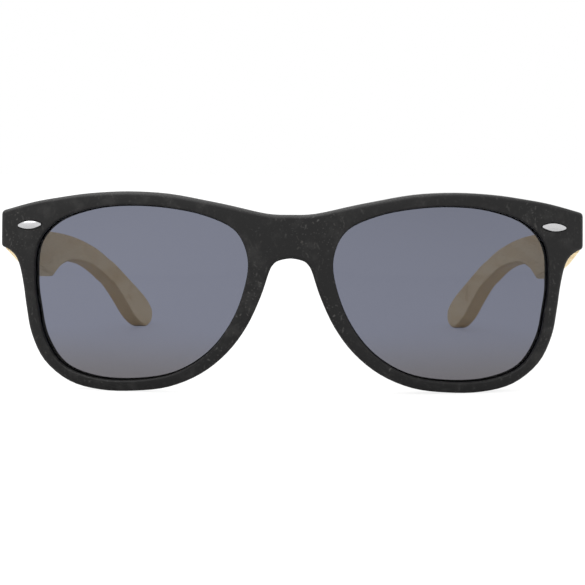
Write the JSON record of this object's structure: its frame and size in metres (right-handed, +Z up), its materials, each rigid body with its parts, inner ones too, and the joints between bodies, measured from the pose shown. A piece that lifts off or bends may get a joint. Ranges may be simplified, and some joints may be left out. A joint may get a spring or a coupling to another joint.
{
  "type": "sunglasses",
  "caption": "Full-rim sunglasses with a dark composite front, smoke lenses, pointed-oval metal corner trims and folding bamboo temples on screw hinges.",
  "frame": {"origin": "middle of the footprint, on the table that the rims and the temple tips stand on, with the temples open", "axes": "+Z up, +X to the wearer's left, -Y is the way the lenses face and +Y runs back along the temples"},
  "size_m": [0.145, 0.1362, 0.0491],
  "materials": {
    "composite": "matte, with fine pale and brown fibre flecks",
    "lens": "clear gloss, smoke tint",
    "bamboo": "satin, straight grain along the temple",
    "trim": "satin",
    "hinge": "satin",
    "screw": "bright"
  },
  "bodies": {
    "front": {"front_frame": "composite", "lens_right": "lens", "lens_left": "lens", "corner_trim_right": "trim", "corner_trim_left": "trim", "hinge_front_leaf_right": "hinge", "hinge_front_leaf_left": "hinge", "hinge_screw_right": "screw", "hinge_screw_left": "screw"},
    "right_temple": {"temple_right": "bamboo", "hinge_temple_leaf_right": "hinge", "temple_leaf_screws_right": "screw"},
    "left_temple": {"temple_left": "bamboo", "hinge_temple_leaf_left": "hinge", "temple_leaf_screws_left": "screw"}
  },
  "joints": [
    {"name": "right_temple_fold", "type": "hinge", "parent": "front", "child": "right_temple", "pos_m": [-0.06642, -0.05043, 0.0385], "axis": [0, 0, -1], "range_deg": [0, 78]},
    {"name": "left_temple_fold", "type": "hinge", "parent": "front", "child": "left_temple", "pos_m": [0.06642, -0.05043, 0.0385], "axis": [0, 0, 1], "range_deg": [0, 84]}
  ]
}
